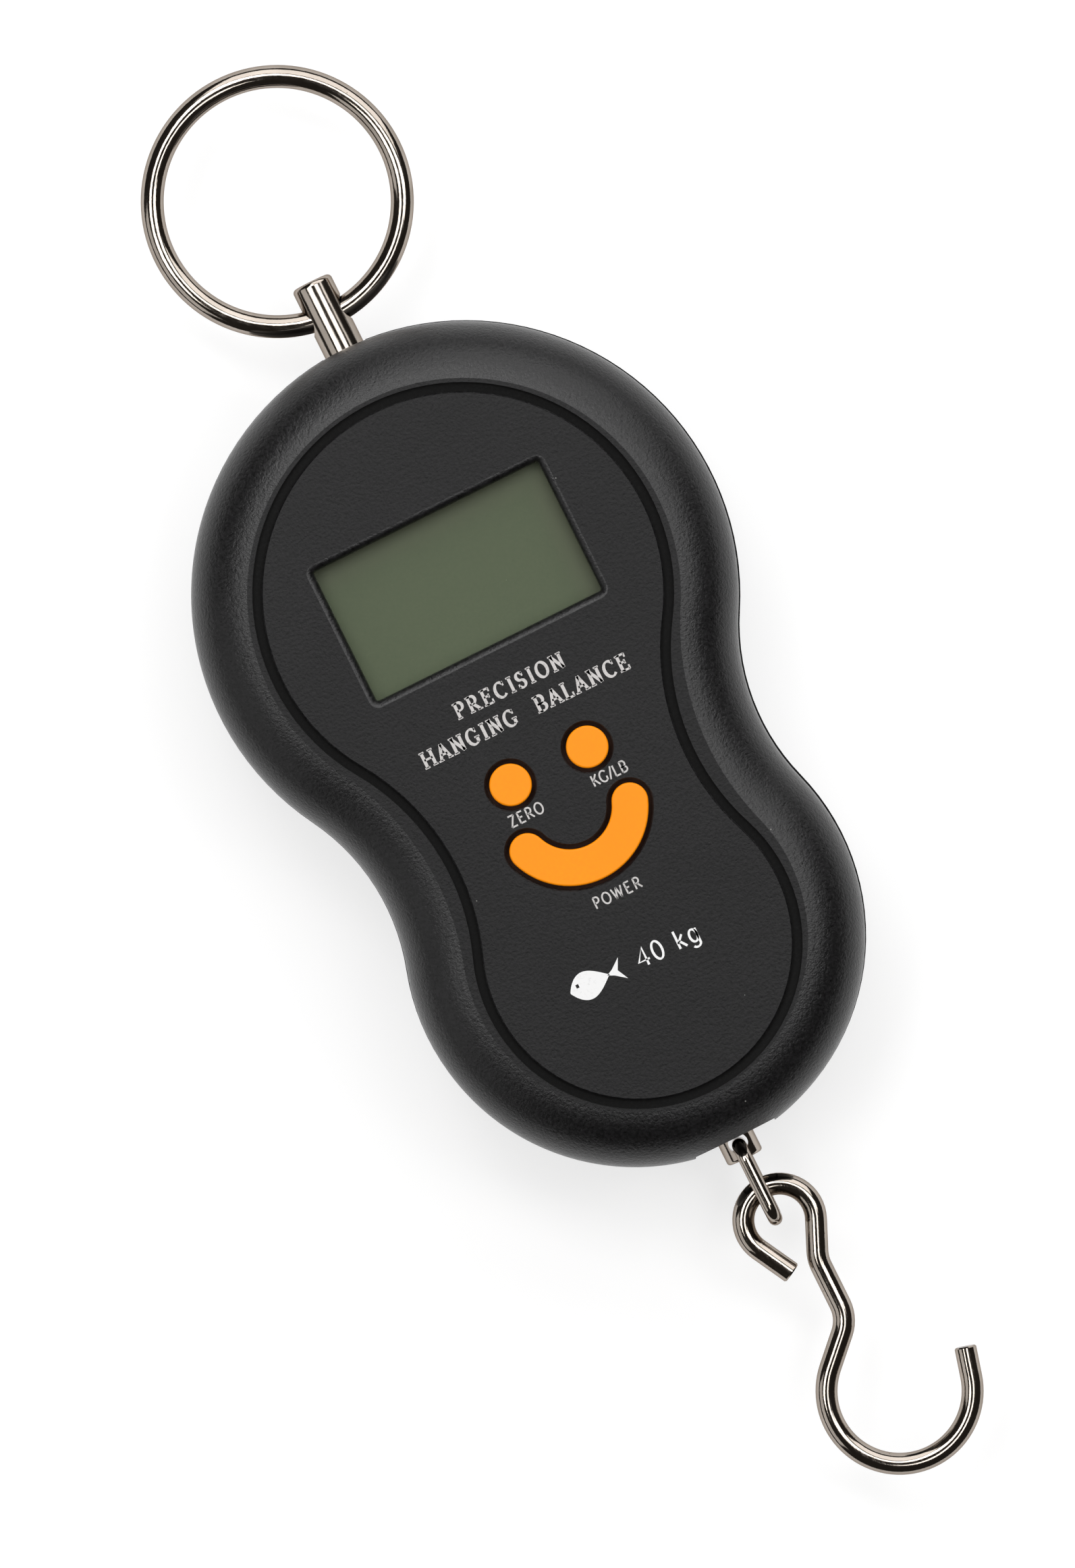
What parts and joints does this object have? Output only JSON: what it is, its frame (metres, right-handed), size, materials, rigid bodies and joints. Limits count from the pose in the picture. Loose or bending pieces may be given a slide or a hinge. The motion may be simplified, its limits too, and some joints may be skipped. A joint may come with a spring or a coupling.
{
  "type": "digital fish scale",
  "caption": "Hand-held electronic hanging scale with an hour-glass housing, display, buttons, a carrying ring and a swivelling wire hook.",
  "frame": {"origin": "centre of the housing's flat back, where the scale rests on a table", "axes": "+Z out of the display, +Y from the hook towards the carrying ring, +X to the right of the display"},
  "size_m": [0.057, 0.1625, 0.0261],
  "materials": {
    "shell": "fine black moulded texture",
    "door": "fine black moulded texture",
    "window": "clear acrylic",
    "lcd": "grey-green display glass",
    "bezel": "black plastic",
    "strip": "striped rubber",
    "board": "green circuit board",
    "chip": "black chips",
    "switch": "black switch body",
    "plunger": "cream plunger",
    "button": "orange satin plastic",
    "nickel": "bright nickel plate",
    "screw": "zinc plate",
    "cell_steel": "steel strip",
    "gauge": "amber foil",
    "wire": "insulated wire",
    "battery": "wrapped cell",
    "contact": "nickel plated spring steel",
    "print": "pale grey printed marks"
  },
  "bodies": {
    "housing": {"front_shell": "shell", "rear_shell": "shell", "display_window": "window", "lcd_panel": "lcd", "lcd_bezel": "bezel", "contact_strips": "strip", "circuit_board": "board", "board_screws": "screw", "board_components": "chip", "switch_bodies": "switch", "load_cell": "cell_steel", "load_cell_screws": "screw", "strain_gauges": "gauge", "gauge_wires": "wire", "ring_post": "nickel", "ring_post_nut": "screw", "battery_1": "battery", "battery_2": "battery", "battery_plates": "contact", "battery_springs": "contact", "battery_leads": "wire", "case_screws": "screw"},
    "ring": {"carry_ring": "nickel"},
    "swivel": {"hook_post": "nickel", "hook_post_washer": "screw", "hook_post_nut": "screw"},
    "link": {"connecting_link": "nickel"},
    "hook": {"weighing_hook": "nickel"},
    "tare_key": {"tare_button": "button", "tare_plunger": "plunger"},
    "unit_key": {"unit_button": "button", "unit_plunger": "plunger"},
    "power_key": {"power_button": "button", "power_plunger": "plunger"},
    "door": {"battery_door": "door"}
  },
  "joints": [
    {"name": "ring_swing", "type": "hinge", "parent": "housing", "child": "ring", "pos_m": [0, 0.04995, 0.012], "axis": [1, 0, 0], "range_deg": [-110, 110]},
    {"name": "post_swivel", "type": "hinge", "parent": "housing", "child": "swivel", "pos_m": [0, -0.0335, 0.012], "axis": [0, 1, 0], "continuous": true},
    {"name": "link_swing", "type": "hinge", "parent": "swivel", "child": "link", "pos_m": [0, -0.04635, 0.012], "axis": [0, 0, 1], "range_deg": [-40, 40]},
    {"name": "hook_fold", "type": "hinge", "parent": "link", "child": "hook", "pos_m": [0.0003, -0.05147, 0.012], "axis": [1, 0, 0], "range_deg": [-85, 85]},
    {"name": "tare_press", "type": "slide", "parent": "housing", "child": "tare_key", "axis": [0, 0, -1], "range_m": [0, 0.0004], "stiffness_N_per_m": 300},
    {"name": "unit_press", "type": "slide", "parent": "housing", "child": "unit_key", "axis": [0, 0, -1], "range_m": [0, 0.0004], "stiffness_N_per_m": 300},
    {"name": "power_press", "type": "slide", "parent": "housing", "child": "power_key", "axis": [0, 0, -1], "range_m": [0, 0.0004], "stiffness_N_per_m": 300},
    {"name": "door_open", "type": "hinge", "parent": "housing", "child": "door", "pos_m": [0, -0.0283, 0], "axis": [-1, 0, 0], "range_deg": [0, 75]}
  ]
}
